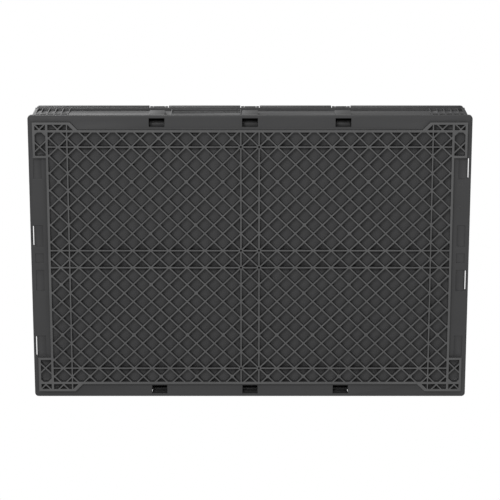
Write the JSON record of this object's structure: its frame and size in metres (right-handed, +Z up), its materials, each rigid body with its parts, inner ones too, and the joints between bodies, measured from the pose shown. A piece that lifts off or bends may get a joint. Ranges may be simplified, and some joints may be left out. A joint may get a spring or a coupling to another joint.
{
  "type": "folding attached lid tote",
  "caption": "Folding plastic tote, folded flat, with a ribbed underside, long walls that fold in half, hanging end walls, a rim frame and two hinged interlocking lids.",
  "frame": {"origin": "centre of the footprint, on the floor that the foot stands on", "axes": "+X along the long side, +Y across to the back long side, +Z up through the lids"},
  "size_m": [0.6, 0.4, 0.09],
  "materials": {
    "tray_plastic": "fine moulded grain",
    "frame_plastic": "fine moulded grain",
    "wall_plastic": "fine moulded grain",
    "lid_plastic": "fine moulded grain",
    "pin_steel": "drawn wire"
  },
  "bodies": {
    "base": {"base_tray": "tray_plastic", "base_hinge_pins_front": "pin_steel", "base_hinge_pins_back": "pin_steel"},
    "front_lower": {"front_wall_lower": "wall_plastic", "mid_hinge_pins_front": "pin_steel"},
    "front_upper": {"front_wall_upper": "wall_plastic"},
    "frame": {"frame_front": "frame_plastic", "frame_back": "frame_plastic", "frame_left": "frame_plastic", "frame_right": "frame_plastic", "rim_hinge_pins_front": "pin_steel", "rim_hinge_pins_back": "pin_steel", "lid_hinge_pins_front": "pin_steel", "lid_hinge_pins_back": "pin_steel", "end_hinge_pins_left": "pin_steel", "end_hinge_pins_right": "pin_steel"},
    "back_lower": {"back_wall_lower": "wall_plastic", "mid_hinge_pins_back": "pin_steel"},
    "back_upper": {"back_wall_upper": "wall_plastic"},
    "end_left": {"end_wall_left": "wall_plastic"},
    "end_right": {"end_wall_right": "wall_plastic"},
    "lid_front": {"lid_front": "lid_plastic"},
    "lid_back": {"lid_back": "lid_plastic"}
  },
  "joints": [
    {"name": "fold", "type": "hinge", "parent": "base", "child": "front_lower", "pos_m": [0, -0.184, 0.025], "axis": [1, 0, 0], "range_deg": [0, 86]},
    {"name": "front_middle", "type": "hinge", "parent": "front_lower", "child": "front_upper", "pos_m": [0, -0.06068, 0.03362], "axis": [1, 0, 0], "range_deg": [-172, 0]},
    {"name": "front_rim", "type": "hinge", "parent": "front_upper", "child": "frame", "pos_m": [0, -0.184, 0.04225], "axis": [1, 0, 0], "range_deg": [0, 86]},
    {"name": "back_fold", "type": "hinge", "parent": "base", "child": "back_lower", "pos_m": [0, 0.184, 0.025], "axis": [-1, 0, 0], "range_deg": [0, 86]},
    {"name": "back_middle", "type": "hinge", "parent": "back_lower", "child": "back_upper", "pos_m": [0, 0.06068, 0.03362], "axis": [-1, 0, 0], "range_deg": [-172, 0]},
    {"name": "lid_front_hinge", "type": "hinge", "parent": "frame", "child": "lid_front", "pos_m": [0, -0.1935, 0.083], "axis": [1, 0, 0], "range_deg": [0, 188]},
    {"name": "lid_back_hinge", "type": "hinge", "parent": "frame", "child": "lid_back", "pos_m": [0, 0.1935, 0.083], "axis": [-1, 0, 0], "range_deg": [0, 188]},
    {"name": "end_left_drop", "type": "hinge", "parent": "frame", "child": "end_left", "pos_m": [-0.281, 0, 0.07], "axis": [0, 1, 0], "range_deg": [0, 1.8]},
    {"name": "end_right_drop", "type": "hinge", "parent": "frame", "child": "end_right", "pos_m": [0.281, 0, 0.07], "axis": [0, -1, 0], "range_deg": [0, 1.8]}
  ],
  "couplings": [
    {"joint": "front_middle", "follows": "fold", "ratio": -2},
    {"joint": "front_rim", "follows": "fold", "ratio": 1},
    {"joint": "back_fold", "follows": "fold", "ratio": 1},
    {"joint": "back_middle", "follows": "fold", "ratio": -2}
  ]
}
